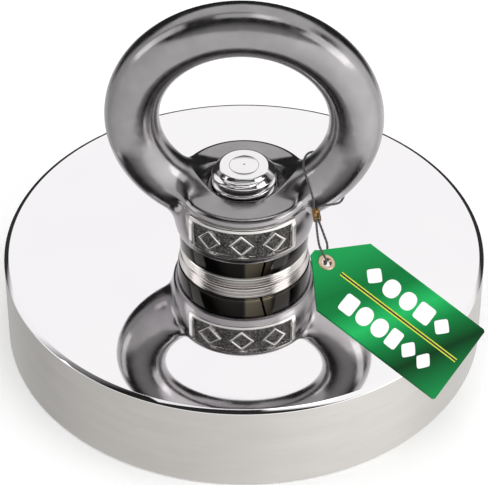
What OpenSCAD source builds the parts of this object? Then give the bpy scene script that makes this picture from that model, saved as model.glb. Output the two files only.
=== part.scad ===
// Magnet fishing magnet: a round pot magnet with a bolted-on eye nut and a hang tag.
// Millimetres. The pull face lies on z = 0 and is centred on the origin, +Z runs up the bolt.

/* [Pot and magnet] */
// Outside diameter of the pot
pot_d = 60; // [48:1:90]
// Height of the pot
pot_h = 12; // [10:0.5:16]
// Thickness of the pot's top plate
plate_t = 4; // [3:0.25:5]
// Thickness of the pot's side wall
wall_t = 3.5; // [2.5:0.25:5]
// Gap between the side wall and the ring magnet, filled with resin
rim_gap = 1.5; // [0.75:0.25:3]
// Chamfer round the pot's top edge
top_chamfer = 0.5; // [0.2:0.1:1.5]
// Chamfer round the pot's bottom edge
foot_chamfer = 0.3; // [0.1:0.1:1]
// How far the ring magnet lies above the pull face
magnet_recess = 0.3; // [0.1:0.1:1]
// How far the resin lies above the pull face
resin_recess = 0.5; // [0.2:0.1:1.5]

/* [Bolt and seat] */
// Diameter over the thread's crests
bolt_d = 7.9; // [6:0.1:10]
// Distance from one thread crest to the next
thread_pitch = 1.25; // [1:0.05:1.5]
// Length of the bolt over its head
bolt_len = 25; // [24:0.5:36]
// Diameter of the countersunk head
head_d = 16; // [14:0.25:18]
// How far the head lies above the pull face
head_recess = 0.1; // [0:0.1:1]
// Width across the flats of the hexagon socket
socket_af = 5; // [4:0.5:6]
// Depth of the hexagon socket
socket_depth = 2.8; // [2:0.1:3.2]
// Outside diameter of the seat bush
bush_d = 20; // [19:0.5:24]
// Gap between the seat bush and the ring magnet, filled with resin
bush_gap = 0.75; // [0.5:0.25:2]
// Space between the thread's crests and the bolt hole
hole_clear = 0.25; // [0.1:0.05:0.6]

/* [Washers] */
// Outside diameter of the flat washer
washer_d = 16; // [14:0.5:20]
// Thickness of the flat washer
washer_t = 1.5; // [1:0.1:2.5]
// Outside diameter of the lock washer
lock_d = 16.1; // [13:0.1:20]
// Thickness of the lock washer
lock_t = 2.6; // [1.8:0.1:3.5]
// Width of the cut through the lock washer
lock_cut = 0.3; // [0.2:0.05:0.8]
// Where the cut lies round the bolt, in degrees from +X
lock_cut_at = -73; // [-180:1:180]

/* [Eye nut] */
// How far the eye is turned when it is tight, in degrees
eye_turned = -2; // [-10:1:10]
// Diameter of the eye's round bar
bar_d = 6.6; // [5:0.1:7.5]
// Width of the eye over its outside
eye_w = 33.6; // [32.6:0.1:42]
// Height of the eye over its outside
eye_h = 32.6; // [30:0.1:33.6]
// Height of the eye's centre above the underside of its boss
eye_rise = 16.1; // [14:0.1:22]
// Largest diameter of the boss
boss_d = 17.6; // [16.5:0.1:22]
// Height of the boss
boss_h = 6.7; // [5:0.1:8]
// Diameter of the boss's flat top
boss_top_d = 15.2; // [13:0.1:16]
// How far the panels stand proud of the boss
panel_proud = 0.1; // [0.05:0.05:0.6]
// Depth of each panel's sunken field
panel_sink = 0.5; // [0.2:0.05:0.8]
// Half of the angle that each panel covers, in degrees
panel_half = 48; // [40:1:60]
// Radial clearance between the nut's bore and the thread's crests
nut_clear = 0.05; // [0.02:0.01:0.1]

/* [Hang tag] */
// Length of the card from its point to its end
card_len = 22.4; // [16:0.1:30]
// Width of the card
card_w = 12.6; // [8:0.1:16]
// Length of the card's pointed end
card_point = 5; // [3:0.1:8]
// Thickness of the card
card_t = 0.4; // [0.3:0.05:0.8]
// Distance from the card's point to the centre of its eyelet
eyelet_in = 2.3; // [1.8:0.1:4]
// Diameter of the hole through the eyelet
eyelet_hole_d = 1.2; // [1.1:0.1:2]
// Diameter of the eyelet's flange
eyelet_flange_d = 2.1; // [2:0.1:3.4]
// Thickness of the eyelet's metal
eyelet_t = 0.15; // [0.1:0.05:0.25]
// Slope of the card as it leans on the pot's rim, in degrees
card_slope = 25; // [20:1:30]
// Diameter of the string
string_d = 0.3; // [0.3:0.01:0.34]
// Length of the ferrule on the string
ferrule_len = 1.5; // [1:0.1:1.6]

/* [Hidden] */
$fn = 96;
past = 0.1;              // how far a cutting shape runs past a face

// Pot
pot_r = pot_d / 2;
cup_r = pot_r - wall_t;
cup_top = pot_h - plate_t;
magnet_r = cup_r - rim_gap;
bush_r = bush_d / 2;
magnet_bore_r = bush_r + bush_gap;
magnet_edge = 0.3;

// Bolt
bolt_r = bolt_d / 2;
head_r = head_d / 2;
head_edge = 0.35;
cone_top = head_recess + head_edge + head_r - bolt_r;
bolt_tip = head_recess + bolt_len;
thread_depth = 0.6 * thread_pitch;
thread_root = 0.15 * thread_pitch;
thread_half = 0.5 * thread_pitch;
tip_chamfer = 0.95;
thread_turns = 7;        // grooves counted down from the tip
bolt_hole_r = bolt_r + hole_clear;
seat_clear = 0.05;
socket_r = socket_af / 2 / cos(30);

// Washers
lock_z = pot_h + washer_t;
nut_z = lock_z + lock_t;
washer_hole_r = bolt_r + hole_clear;
lock_hole_r = bolt_r + 0.15;
washer_edge = 0.25;
lock_edge = 0.15;
lock_lean = 12;          // lean of the lock washer's cut, in degrees

// Eye nut, in its own frame before the eye is turned
bar_r = bar_d / 2;
boss_r = boss_d / 2;
boss_top_r = boss_top_d / 2;
boss_bulge = 0.45;       // how much the boss's side curves in at its foot
foot_bevel = 0.3;
shoulder_h = 1.2;
boss_steps = 8;          // steps in the outline of the boss's side, and in its shoulder
nut_bore_r = bolt_r + nut_clear;
bore_mouth = 0.35;
eye_z = nut_z + eye_rise;
eye_a = eye_w / 2 - bar_r;
eye_b = eye_h / 2 - bar_r;
// The eye's centre line is an oval of two side arcs and two flatter arcs, each a quarter turn
arc_shift = (eye_a - eye_b) * cos(45) / (2 * cos(45) - 1);
side_arc_r = eye_a - arc_shift;
flat_arc_r = eye_b + arc_shift;
band_proud = 0.02;
band_w = 0.2;
panel_low = 0.9;
panel_high = boss_h - 1.1;
panel_frame = 0.5;       // width of the frame round each panel's field
panel_r = boss_r + panel_proud;
field_r = panel_r - panel_sink;
field_half = panel_half - 5;  // in degrees, the rest being the frame's ends
mark_count = 3;
mark_step = 27;          // angle from one mark to the next
mark_w = 3.2;
mark_h = panel_high - panel_low - 2 * panel_frame - 0.4;
mark_line = 0.5;

// Hang tag, in the eye's own frame before the eye is turned
card_az = -43;           // direction in which the card slopes down, from +X
card_spin = 14;          // turn of the card in its own plane
card_up = 16.5;          // from the rim up the card's slope to the eyelet
card_side = -1.2;        // from the rim across the slope to the eyelet
card_gap = 0.12;         // space between the back of the card and the rim's chamfer
card_r = card_w / 2;
card_nose = 0.9;         // half of the width of the card's blunt point
card_end = 0.45;         // half of the width of the flat at the very point
card_end_in = 0.25;
eyelet_hole_r = eyelet_hole_d / 2;
barrel_r = eyelet_hole_r + eyelet_t;
flange_r = eyelet_flange_d / 2;
eyelet_bevel = 0.1;
eyelet_fit = 0.02;       // space between the barrel and the holes that it passes through
string_r = string_d / 2;
string_sides = 8;
string_steps = 2;        // tube rings for each point of the route
loop_r = bar_r + string_r + 0.1;
// Where the string loops round the bar: the lower right joint of the eye's arcs
bar_point = [arc_shift + side_arc_r * cos(45), 0, eye_z - side_arc_r * sin(45)];
ferrule_top = [8.85, -4.45, 21.75];
ferrule_axis = [0.25, -1.45, -0.45];
ferrule_r = 0.5;
ferrule_bore_r = 0.38;
ferrule_edge = 0.08;
// From the ferrule down to the card, through its eyelet, behind the card and up to the ferrule
tag_route = [
    [8.93, -5.9, 21.3], [9.05, -7.4, 21.2], [9.2, -8.9, 21.05], [9.4, -10.1, 20.85],
    [9.75, -10.8, 20.45], [10.1, -11.15, 19.95], [10.25, -11.25, 19.45], [10.2, -11.15, 19],
    [10.1, -10.9, 18.7], [10.05, -10.35, 18.45], [10.05, -9.75, 18.5], [10.2, -9.2, 18.8],
    [10.35, -8.85, 19.35], [10.3, -8.5, 19.95], [9.95, -7.7, 20.5], [9.55, -6.7, 21],
    [9.27, -5.9, 21.3], [9.02, -4.45, 21.75]
];

// A disc or a ring with its outer edges bevelled
module ring_body(outer_r, inner_r, low, high, low_bevel, high_bevel) {
    rotate_extrude()
    polygon([
        [inner_r, low], [outer_r - low_bevel, low], [outer_r, low + low_bevel],
        [outer_r, high - high_bevel], [outer_r - high_bevel, high], [inner_r, high]
    ]);
}

module pot_shell() {
    color("silver")
    rotate_extrude()
    polygon([
        [bolt_hole_r, pot_h], [bolt_hole_r, cup_top], [cup_r, cup_top], [cup_r, foot_chamfer],
        [cup_r + foot_chamfer, 0], [pot_r - foot_chamfer, 0], [pot_r, foot_chamfer],
        [pot_r, pot_h - top_chamfer], [pot_r - top_chamfer, pot_h]
    ]);
}

module ring_magnet() {
    color("gainsboro")
    ring_body(magnet_r, magnet_bore_r, magnet_recess, cup_top, magnet_edge, 0);
}

module rim_resin() {
    color("dimgray")
    ring_body(cup_r, magnet_r, resin_recess + magnet_edge, cup_top, 0, 0);
}

module bush_resin() {
    color("dimgray")
    ring_body(magnet_bore_r, bush_r, resin_recess, cup_top, 0, 0);
}

module seat_bush() {
    seat_r = head_r + seat_clear;
    cone_low = head_recess + head_edge;
    color("lightsteelblue")
    rotate_extrude()
    polygon([
        [bolt_hole_r, cup_top], [bolt_hole_r, cone_low + seat_r - bolt_hole_r],
        [seat_r, cone_low], [seat_r, magnet_recess - past], [seat_r, magnet_recess],
        [bush_r, magnet_recess], [bush_r, cup_top]
    ]);
}

// One thread groove, cut downwards from z
function groove(z) = [
    [bolt_r, z], [bolt_r - thread_depth, z - thread_half + thread_root / 2],
    [bolt_r - thread_depth, z - thread_half - thread_root / 2], [bolt_r, z - thread_pitch + past]
];

module bolt() {
    thread_top = bolt_tip - tip_chamfer - past;
    color("whitesmoke")
    difference() {
        rotate_extrude()
        polygon(concat(
            [
                [0, head_recess], [head_r, head_recess], [head_r, head_recess + head_edge],
                [bolt_r, cone_top]
            ],
            [for (turn = [thread_turns - 1 : -1 : 0], point = [3 : -1 : 0])
                groove(thread_top - turn * thread_pitch)[point]],
            [[bolt_r, bolt_tip - tip_chamfer], [bolt_r - tip_chamfer, bolt_tip], [0, bolt_tip]]
        ));
        translate([0, 0, head_recess - past])
        cylinder(r = socket_r, h = socket_depth + past, $fn = 6);
    }
}

module flat_washer() {
    color("lightgray")
    ring_body(washer_d / 2, washer_hole_r, pot_h, pot_h + washer_t, washer_edge, washer_edge);
}

module lock_washer() {
    color("gray")
    difference() {
        ring_body(lock_d / 2, lock_hole_r, lock_z, lock_z + lock_t, lock_edge, lock_edge);
        rotate([0, 0, lock_cut_at])
        translate([0, 0, lock_z + lock_t / 2])
        rotate([lock_lean, 0, 0])
        translate([0, -lock_cut / 2, -lock_t])
        cube([lock_d, lock_cut, 2 * lock_t]);
    }
}

// A quarter of the eye's bar, centred on the given direction in the eye's plane. A band a hair
// proud of the bar closes its joint with the quarter before it.
module bar_arc(arc_r, centre, direction) {
    translate([centre[0], 0, eye_z + centre[1]])
    rotate([90, 0, 0])
    rotate([0, 0, direction - 45]) {
        rotate_extrude(angle = 90)
        translate([arc_r, 0])
        circle(r = bar_r);
        translate([arc_r, 0, 0])
        rotate([90, 0, 0])
        cylinder(r = bar_r + band_proud, h = band_w, center = true);
    }
}

module eye_bar() {
    bar_arc(side_arc_r, [arc_shift, 0], 0);
    bar_arc(flat_arc_r, [0, -arc_shift], 90);
    bar_arc(side_arc_r, [-arc_shift, 0], 180);
    bar_arc(flat_arc_r, [0, arc_shift], 270);
}

// Outline of the boss from its foot to its flat top: a barrel side and a round shoulder
function boss_side(height) =
    let (middle = (boss_h - shoulder_h) / 2)
    boss_r - boss_bulge * pow((height - middle) / middle, 2);

module boss() {
    side_top = boss_h - shoulder_h;
    shoulder_w = boss_side(side_top) - boss_top_r;
    translate([0, 0, nut_z])
    rotate_extrude()
    polygon(concat(
        [[0, 0], [boss_side(0) - foot_bevel, 0]],
        [for (step = [0 : boss_steps])
            let (height = foot_bevel + (side_top - foot_bevel) * step / boss_steps)
            [boss_side(height), height]],
        [for (step = [1 : boss_steps])
            let (turn = 90 * step / boss_steps)
            [boss_top_r + shoulder_w * cos(turn), side_top + shoulder_h * sin(turn)]],
        [[0, boss_h]]
    ));
}

// A curved patch in front of the boss between two radii, two heights and plus or minus an angle
module patch(inner_r, outer_r, low, high, half) {
    translate([0, 0, nut_z])
    rotate([0, 0, -90 - half])
    rotate_extrude(angle = 2 * half)
    polygon([[inner_r, low], [outer_r, low], [outer_r, high], [inner_r, high]]);
}

// A plain hollow lozenge, standing in the field of a panel
module lozenge(at) {
    rotate([0, 0, at])
    translate([0, 0, nut_z + (panel_low + panel_high) / 2])
    rotate([90, 0, 0])
    difference() {
        linear_extrude(boss_d)
        polygon([[-mark_w / 2, 0], [0, -mark_h / 2], [mark_w / 2, 0], [0, mark_h / 2]]);
        translate([0, 0, -past])
        linear_extrude(boss_d + 2 * past)
        polygon([
            [-mark_w / 2 + mark_line, 0], [0, -mark_h / 2 + mark_line],
            [mark_w / 2 - mark_line, 0], [0, mark_h / 2 - mark_line]
        ]);
    }
}

// The marks of one panel, as tall as its frame
module marks() {
    intersection() {
        patch(field_r - past, panel_r, panel_low + panel_frame, panel_high - panel_frame, field_half);
        union() {
            for (mark = [1 : mark_count]) lozenge((mark - (mark_count + 1) / 2) * mark_step);
        }
    }
}

// The bar without the low arc that the boss swallows
module trimmed_bar() {
    difference() {
        eye_bar();
        translate([0, 0, nut_z - boss_h])
        cylinder(r = boss_top_r, h = boss_h + panel_low);
    }
}

module nut_blank() {
    difference() {
        union() {
            boss();
            trimmed_bar();
            for (side = [0, 180]) rotate([0, 0, side])
                patch(boss_top_r, panel_r, panel_low, panel_high, panel_half);
        }
        for (side = [0, 180]) rotate([0, 0, side])
            patch(field_r, panel_r + past, panel_low + panel_frame, panel_high - panel_frame,
                field_half);
    }
    for (side = [0, 180]) rotate([0, 0, side]) marks();
}

module eye_nut() {
    color("darkgray")
    rotate([0, 0, eye_turned])
    difference() {
        nut_blank();
        translate([0, 0, nut_z - past])
        cylinder(r = nut_bore_r, h = boss_h + bar_r);
        translate([0, 0, nut_z - past])
        cylinder(r1 = nut_bore_r + bore_mouth + past, r2 = nut_bore_r, h = bore_mouth + past);
        translate([0, 0, nut_z + boss_h - bore_mouth])
        cylinder(r1 = nut_bore_r, r2 = nut_bore_r + bore_mouth + past, h = bore_mouth + past);
    }
}

// Places what it holds in the card's frame: origin at the eyelet on the card's face,
// X along the card, Y across it and Z out of its face
module on_card() {
    rotate([0, 0, eye_turned + card_az])
    translate([pot_r, 0, pot_h])
    rotate([0, card_slope, 0])
    translate([-card_up, card_side, card_gap + card_t - top_chamfer * sin(card_slope)])
    rotate([0, 0, card_spin])
    children();
}

module tag_card() {
    front = -eyelet_in;
    back = front + card_len;
    shoulder = front + card_point;
    nose_x = front + card_nose * card_point / card_r;
    color("seagreen")
    on_card()
    translate([0, 0, -card_t])
    difference() {
        linear_extrude(card_t)
        polygon([
            [front + card_end_in, card_end], [nose_x, card_nose], [shoulder, card_r],
            [back, card_r], [back, -card_r], [shoulder, -card_r], [nose_x, -card_nose],
            [front + card_end_in, -card_end]
        ]);
        translate([0, 0, -past])
        cylinder(r = barrel_r + eyelet_fit, h = card_t + 2 * past);
    }
}

module tag_eyelet() {
    face = card_t + eyelet_t;
    top = face + eyelet_t;
    color("tan")
    on_card()
    translate([0, 0, -face])
    rotate_extrude()
    polygon([
        [eyelet_hole_r, 0], [barrel_r, 0], [barrel_r, face], [flange_r, face],
        [flange_r - eyelet_bevel / 2, top - eyelet_bevel / 2], [flange_r - eyelet_bevel, top],
        [eyelet_hole_r + eyelet_bevel, top], [eyelet_hole_r, top - eyelet_bevel]
    ]);
}

module eyelet_washer() {
    color("tan")
    on_card()
    translate([0, 0, -card_t - eyelet_t])
    ring_body(flange_r, barrel_r + eyelet_fit, 0, eyelet_t, eyelet_bevel / 2, 0);
}

// String: a tube swept along the route, which a smooth curve through its points fills in
function loop_point(turn) =
    let (slide = -0.5 * cos(turn))
    bar_point + loop_r * cos(turn) * [0, -1, 0]
    + loop_r * sin(turn) * [-cos(45), 0, sin(45)] + slide * [cos(45), 0, sin(45)];
bar_route = [for (turn = [-40 : -25 : -330]) loop_point(turn)];
route = concat(
    [[8.75, -4.95, 21.6]], tag_route, [[9.6, -3.7, 21.85]], bar_route,
    [[8.5, -3.8, 23.1], [8.63, -4.35, 21.9]], [[8.73, -4.8, 21.64]]
);
function along(points, index, part) =
    let (
        last = len(points) - 1,
        a = points[max(index - 1, 0)],
        b = points[index],
        c = points[min(index + 1, last)],
        d = points[min(index + 2, last)]
    )
    0.5 * (2 * b + part * (c - a) + pow(part, 2) * (2 * a - 5 * b + 4 * c - d)
        + pow(part, 3) * (3 * b - a - 3 * c + d));
function unit(v) = v / norm(v);
function level(v, along_v) = unit(v - (v * along_v) * along_v);
function frames(path, index = 0, side = [1, 0, 0]) =
    let (
        last = len(path) - 1,
        ahead = unit(path[min(index + 1, last)] - path[max(index - 1, 0)]),
        here = level(side, ahead)
    )
    index == last ? [[here, cross(ahead, here)]]
    : concat([[here, cross(ahead, here)]], frames(path, index + 1, here));

module tube(path, radius, sides) {
    frame = frames(path);
    last = len(path) - 1;
    points = [for (ring = [0 : last], side = [0 : sides - 1])
        path[ring] + radius * (cos(360 * side / sides) * frame[ring][0]
            + sin(360 * side / sides) * frame[ring][1])];
    walls = [for (ring = [0 : last - 1], side = [0 : sides - 1])
        let (next = (side + 1) % sides)
        [ring * sides + side, (ring + 1) * sides + side,
            (ring + 1) * sides + next, ring * sides + next]];
    start = [for (side = [0 : sides - 1]) side];
    end = [for (side = [sides - 1 : -1 : 0]) last * sides + side];
    polyhedron(points = points, faces = concat([start, end], walls), convexity = 8);
}

module tag_string() {
    path = concat(
        [for (index = [0 : len(route) - 2], step = [0 : string_steps - 1])
            along(route, index, step / string_steps)],
        [route[len(route) - 1]]
    );
    color("dimgray")
    rotate([0, 0, eye_turned])
    tube(path, string_r, string_sides);
}

module string_ferrule() {
    run = norm(ferrule_axis);
    color("peru")
    rotate([0, 0, eye_turned])
    translate(ferrule_top)
    rotate([0, acos(ferrule_axis[2] / run), atan2(ferrule_axis[1], ferrule_axis[0])])
    ring_body(ferrule_r, ferrule_bore_r, 0, ferrule_len, ferrule_edge, ferrule_edge);
}

pot_shell();
ring_magnet();
rim_resin();
bush_resin();
seat_bush();
bolt();
flat_washer();
lock_washer();
eye_nut();
tag_card();
tag_eyelet();
eyelet_washer();
tag_string();
string_ferrule();
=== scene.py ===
"""Magnet fishing magnet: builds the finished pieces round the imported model, with its stage and camera."""
import math

import bpy
import numpy as np
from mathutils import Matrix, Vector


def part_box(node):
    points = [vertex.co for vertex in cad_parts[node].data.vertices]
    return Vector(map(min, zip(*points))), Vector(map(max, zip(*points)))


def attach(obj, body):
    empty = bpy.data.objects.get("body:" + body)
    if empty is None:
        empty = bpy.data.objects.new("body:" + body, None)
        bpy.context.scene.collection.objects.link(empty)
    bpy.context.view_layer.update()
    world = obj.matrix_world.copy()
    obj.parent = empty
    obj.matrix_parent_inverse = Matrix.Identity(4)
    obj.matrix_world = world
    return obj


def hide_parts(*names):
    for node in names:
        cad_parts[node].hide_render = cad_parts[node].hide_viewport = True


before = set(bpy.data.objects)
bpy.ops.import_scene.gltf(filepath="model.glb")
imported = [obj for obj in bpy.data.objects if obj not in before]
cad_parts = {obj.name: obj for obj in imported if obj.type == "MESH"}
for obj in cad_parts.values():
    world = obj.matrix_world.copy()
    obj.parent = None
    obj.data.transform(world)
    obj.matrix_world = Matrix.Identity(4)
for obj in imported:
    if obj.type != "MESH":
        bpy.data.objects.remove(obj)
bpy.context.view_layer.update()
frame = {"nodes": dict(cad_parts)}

bl_info = {
    "name": "Magnet Fishing Magnet",
    "version": (1, 0, 0),
    "blender": (4, 5, 0),
    "location": "View3D > Sidebar > Magnet",
    "description": "Builds a pot magnet with its eye nut, bolt, washers and hang tag",
    "category": "Add Mesh",
}

MM = 0.001


def node_box(node):
    """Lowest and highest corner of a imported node, in millimetres."""
    low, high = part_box(node)
    return np.array(low) / MM, np.array(high) / MM


POT_HIGH = node_box("pot_shell")[1]
BOLT_LOW, BOLT_HIGH = node_box("bolt")
WASHER_LOW, WASHER_HIGH = node_box("flat_washer")
LOCK_LOW, LOCK_HIGH = node_box("lock_washer")
EYE_LOW, EYE_HIGH = node_box("eye_nut")
# turns of thread on the bolt, radius of the clear holes round it, and the card's front end from its eyelet
THREAD_TURNS = 7
CLEAR_HOLE = 4.2
CARD_FRONT = -2.3


# ---------------------------------------------------------------------------------------------
# Settings
# ---------------------------------------------------------------------------------------------


def length(name, text, value, low=0.0, high=200.0):
    """A length in millimetres."""
    return bpy.props.FloatProperty(name=name, description=text, default=float(value), min=low, max=high)


def colour(name, text, value):
    """A colour in linear red, green and blue."""
    return bpy.props.FloatVectorProperty(
        name=name, description=text, default=value, size=3, subtype="COLOR", min=0.0, max=1.0
    )


def angle(name, text, degrees):
    """An angle, held in radians."""
    return bpy.props.FloatProperty(
        name=name, description=text, default=math.radians(degrees), subtype="ANGLE", unit="ROTATION"
    )


class PotSettings(bpy.types.PropertyGroup):
    """The pot, and what is set in it."""

    radius: length("Radius", "Outside radius of the pot, mm", POT_HIGH[0])
    height: length("Height", "Height of the pot, mm", POT_HIGH[2])
    wall: length("Wall", "Thickness of the side wall, mm", 3.5)
    plate: length("Plate", "Thickness of the top plate, mm", 4.0)
    chamfer: length("Top chamfer", "Width of the chamfer round the top edge, mm", 0.6)
    drop: length("Chamfer's drop", "Height of the chamfer round the top edge, mm", 0.3)
    foot: length("Foot chamfer", "Chamfer round the bottom edge, mm", 0.3)
    plating: colour("Plating", "Nickel of the top face", (0.94, 0.925, 0.93))
    satin: colour("Side", "Nickel of the side wall", (0.56, 0.54, 0.515))
    resin: colour("Resin", "Epoxy between magnet and pot", (0.035, 0.035, 0.038))


class BoltSettings(bpy.types.PropertyGroup):
    """The bolt and the washers under the nut."""

    crest: length("Crest radius", "Radius over the thread's crests, mm", 3.95)
    pitch: length("Pitch", "Distance from one thread crest to the next, mm", 1.25)
    tip_chamfer: length("Tip chamfer", "Chamfer at the bolt's tip, mm", 0.95)
    head: length("Head radius", "Radius of the countersunk head, mm", 8.0)
    metal: colour("Bolt", "Plating of the bolt", (0.9, 0.89, 0.89))
    washer: colour("Flat washer", "Metal of the flat washer", (0.78, 0.75, 0.71))
    lock: colour("Lock washer", "Dark metal of the lock washer", (0.035, 0.033, 0.030))


class EyeSettings(bpy.types.PropertyGroup):
    """The cast eye nut."""

    bar: length("Bar radius", "Radius of the eye's round bar, mm", 3.3)
    width: length("Eye width", "Width of the eye over its outside, mm", 33.6)
    height: length("Eye height", "Height of the eye over its outside, mm", 32.6)
    boss: length("Boss radius", "Largest radius of the boss, mm", 8.8)
    boss_height: length("Boss height", "Height of the boss, mm", 6.7)
    blend: length("Fillet", "Reach of the fillet between the bar and the boss, mm", 1.1)
    turned: angle("Turned", "How far the eye is turned when it is tight", -2.0)
    metal: colour("Casting", "Polished cast steel", (0.33, 0.318, 0.323))
    frame: colour("Frame", "Buffed frame and marks of the panels", (0.66, 0.64, 0.62))
    floor: colour("Field", "Rough floor of the marking fields", (0.12, 0.117, 0.114))


class TagSettings(bpy.types.PropertyGroup):
    """The hang tag and its string."""

    length: length("Length", "Length of the card, mm", 22.4)
    width: length("Width", "Width of the card, mm", 12.6)
    thickness: length("Thickness", "Thickness of the card, mm", 0.4)
    string: length("String", "Diameter of the string, mm", 0.3)
    light: colour("Light green", "Lightest green of the card", (0.014, 0.44, 0.11))
    green: colour("Green", "Main green of the card", (0.002, 0.16, 0.035))
    dark: colour("Dark green", "Darkest green of the card", (0.0004, 0.036, 0.007))
    ink: colour("Marks", "Ink of the marks", (0.93, 0.93, 0.93))
    line: colour("Lines", "Ink of the two lines", (0.66, 0.74, 0.02))
    brass: colour("Brass", "Metal of the eyelet", (0.72, 0.55, 0.40))
    thread: colour("Thread", "Colour of the string", (0.05, 0.05, 0.052))


class StageSettings(bpy.types.PropertyGroup):
    """Floor, light and camera."""

    lens: bpy.props.FloatProperty(name="Lens", description="Focal length, mm", default=183.25, min=10)
    pitch: angle("Tilt", "How far the camera looks down", 40.02)
    back: length("Distance", "Camera's distance in front, mm", 238.0, 0, 2000)
    up: length("Height", "Camera's height above the floor, mm", 212.5, 0, 2000)
    floor: colour("Floor", "Colour of the floor", (0.9, 0.9, 0.9))


# ---------------------------------------------------------------------------------------------
# Mesh making
# ---------------------------------------------------------------------------------------------


def stitched(grid, close_rows=False, close_columns=True):
    """Points and four-sided faces of a grid of points; either direction may join up with its own start."""
    rows, columns = grid.shape[:2]
    index = np.arange(rows * columns).reshape(rows, columns)
    if close_rows:
        index = np.vstack([index, index[:1]])
    if close_columns:
        index = np.hstack([index, index[:, :1]])
    quads = np.stack([index[:-1, :-1], index[:-1, 1:], index[1:, 1:], index[1:, :-1]], -1)
    return grid.reshape(-1, 3), quads.reshape(-1, 4)


def welded(points, quads):
    """Joins points that coincide, and turns faces with a repeated corner into triangles."""
    keys = np.round(points * 1e5).astype(np.int64)
    first, where = np.unique(keys, axis=0, return_index=True, return_inverse=True)[1:]
    where = where.reshape(-1)
    quads = where[quads]
    same = quads == np.roll(quads, -1, axis=1)
    whole = quads[same.sum(1) == 0]
    pinched = same.sum(1) == 1
    start = np.argmax(same[pinched], axis=1)
    turned = quads[pinched][np.arange(len(start))[:, None], (start[:, None] + np.arange(1, 4)) % 4]
    return points[first], whole, turned


def volume_of(points, quads, triangles):
    """Signed volume inside faces, as a sum over triangles of corner products."""
    all_three = np.vstack([quads[:, :3], quads[:, [0, 2, 3]], triangles])
    a, b, c = (points[all_three[:, k]] for k in range(3))
    return np.einsum("ij,ij->i", a, np.cross(b, c)).sum() / 6


def solid(name, shells, body, replaces=(), sharp=40, materials=(), unwrap=None):
    """One mesh of closed shells. A shell is (points in mm, quads, material number); its faces are turned
    outwards by the sign of its volume. unwrap gives a map position for every point."""
    all_points, all_faces, all_materials, base = [], [], [], 0
    for points, quads, material in shells:
        points, quads, triangles = welded(points, quads)
        if volume_of(points, quads, triangles) < 0:
            quads, triangles = quads[:, ::-1], triangles[:, ::-1]
        all_points.append(points)
        all_faces += (quads + base).tolist() + (triangles + base).tolist()
        all_materials.append(np.full(len(quads) + len(triangles), material, np.int32))
        base += len(points)
    points = np.vstack(all_points) * MM
    mesh = bpy.data.meshes.new(name)
    mesh.from_pydata(points.tolist(), [], all_faces)
    for material in materials:
        mesh.materials.append(material)
    numbers = np.concatenate(all_materials)
    mesh.polygons.foreach_set("material_index", numbers)
    mesh.shade_smooth()
    mesh.set_sharp_from_angle(angle=math.radians(sharp))
    if unwrap is not None:
        layer = mesh.uv_layers.new(name="Plan")
        corner = np.zeros(len(mesh.loops), np.int32)
        mesh.loops.foreach_get("vertex_index", corner)
        layer.data.foreach_set("uv", unwrap(points / MM)[corner].astype(np.float32).ravel())
    mesh.update()
    piece = bpy.data.objects.new(name, mesh)
    bpy.context.scene.collection.objects.link(piece)
    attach(piece, body)
    if replaces:
        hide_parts(*replaces)
    return piece


def rounded_outline(corners, steps=5):
    """Outline through corners given as (radius, height, rounding): each rounded corner becomes a circular
    arc that touches both of its sides."""
    nearly_straight = 1.55
    corners = np.array(corners, float)
    places, out = corners[:, :2], []
    for number, (place, size) in enumerate(zip(places, corners[:, 2])):
        before = places[number - 1] - place
        after = places[(number + 1) % len(places)] - place
        if size <= 0 or not before.any() or not after.any():
            out.append(place[None])
            continue
        before, after = before / np.linalg.norm(before), after / np.linalg.norm(after)
        half = math.acos(np.clip(before @ after, -1, 1)) / 2
        if half > nearly_straight:
            out.append(place[None])
            continue
        middle = (before + after) / np.linalg.norm(before + after)
        centre = place + middle * size / math.sin(half)
        start = place + before * size / math.tan(half) - centre
        end = place + after * size / math.tan(half) - centre
        part = np.linspace(0, 1, steps + 1)[:, None]
        swing = math.pi - 2 * half
        arc = (np.sin((1 - part) * swing) * start + np.sin(part * swing) * end) / math.sin(swing)
        out.append(centre + arc)
    return np.vstack(out)


def turned(outline, sides=192, closed=True):
    """Surface of revolution: each (radius, height) of the outline carried round the bolt's axis."""
    angles = np.linspace(0, 2 * math.pi, sides, endpoint=False)
    radius, height = outline[:, 0, None], outline[:, 1, None]
    grid = np.stack([radius * np.cos(angles), radius * np.sin(angles), height + 0 * angles], -1)
    return stitched(grid, close_rows=closed, close_columns=True)


def moved(points, matrix):
    """Points after a 4 x 4 matrix in millimetres."""
    return points @ matrix[:3, :3].T + matrix[:3, 3]


def turn_about(axis, degrees):
    """Matrix of a turn about X, Y or Z."""
    c, s = math.cos(math.radians(degrees)), math.sin(math.radians(degrees))
    matrix = np.eye(4)
    one, two = {"X": (1, 2), "Y": (2, 0), "Z": (0, 1)}[axis]
    matrix[one, one] = matrix[two, two] = c
    matrix[one, two], matrix[two, one] = -s, s
    return matrix


def shift(x, y, z):
    """Matrix of a move."""
    matrix = np.eye(4)
    matrix[:3, 3] = x, y, z
    return matrix


def smooth_step(low, high, value):
    """0 below low, 1 above high, and a smooth cubic between them."""
    part = np.clip((value - low) / (high - low), 0, 1)
    return part * part * (3 - 2 * part)


# ---------------------------------------------------------------------------------------------
# Materials
# ---------------------------------------------------------------------------------------------


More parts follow.
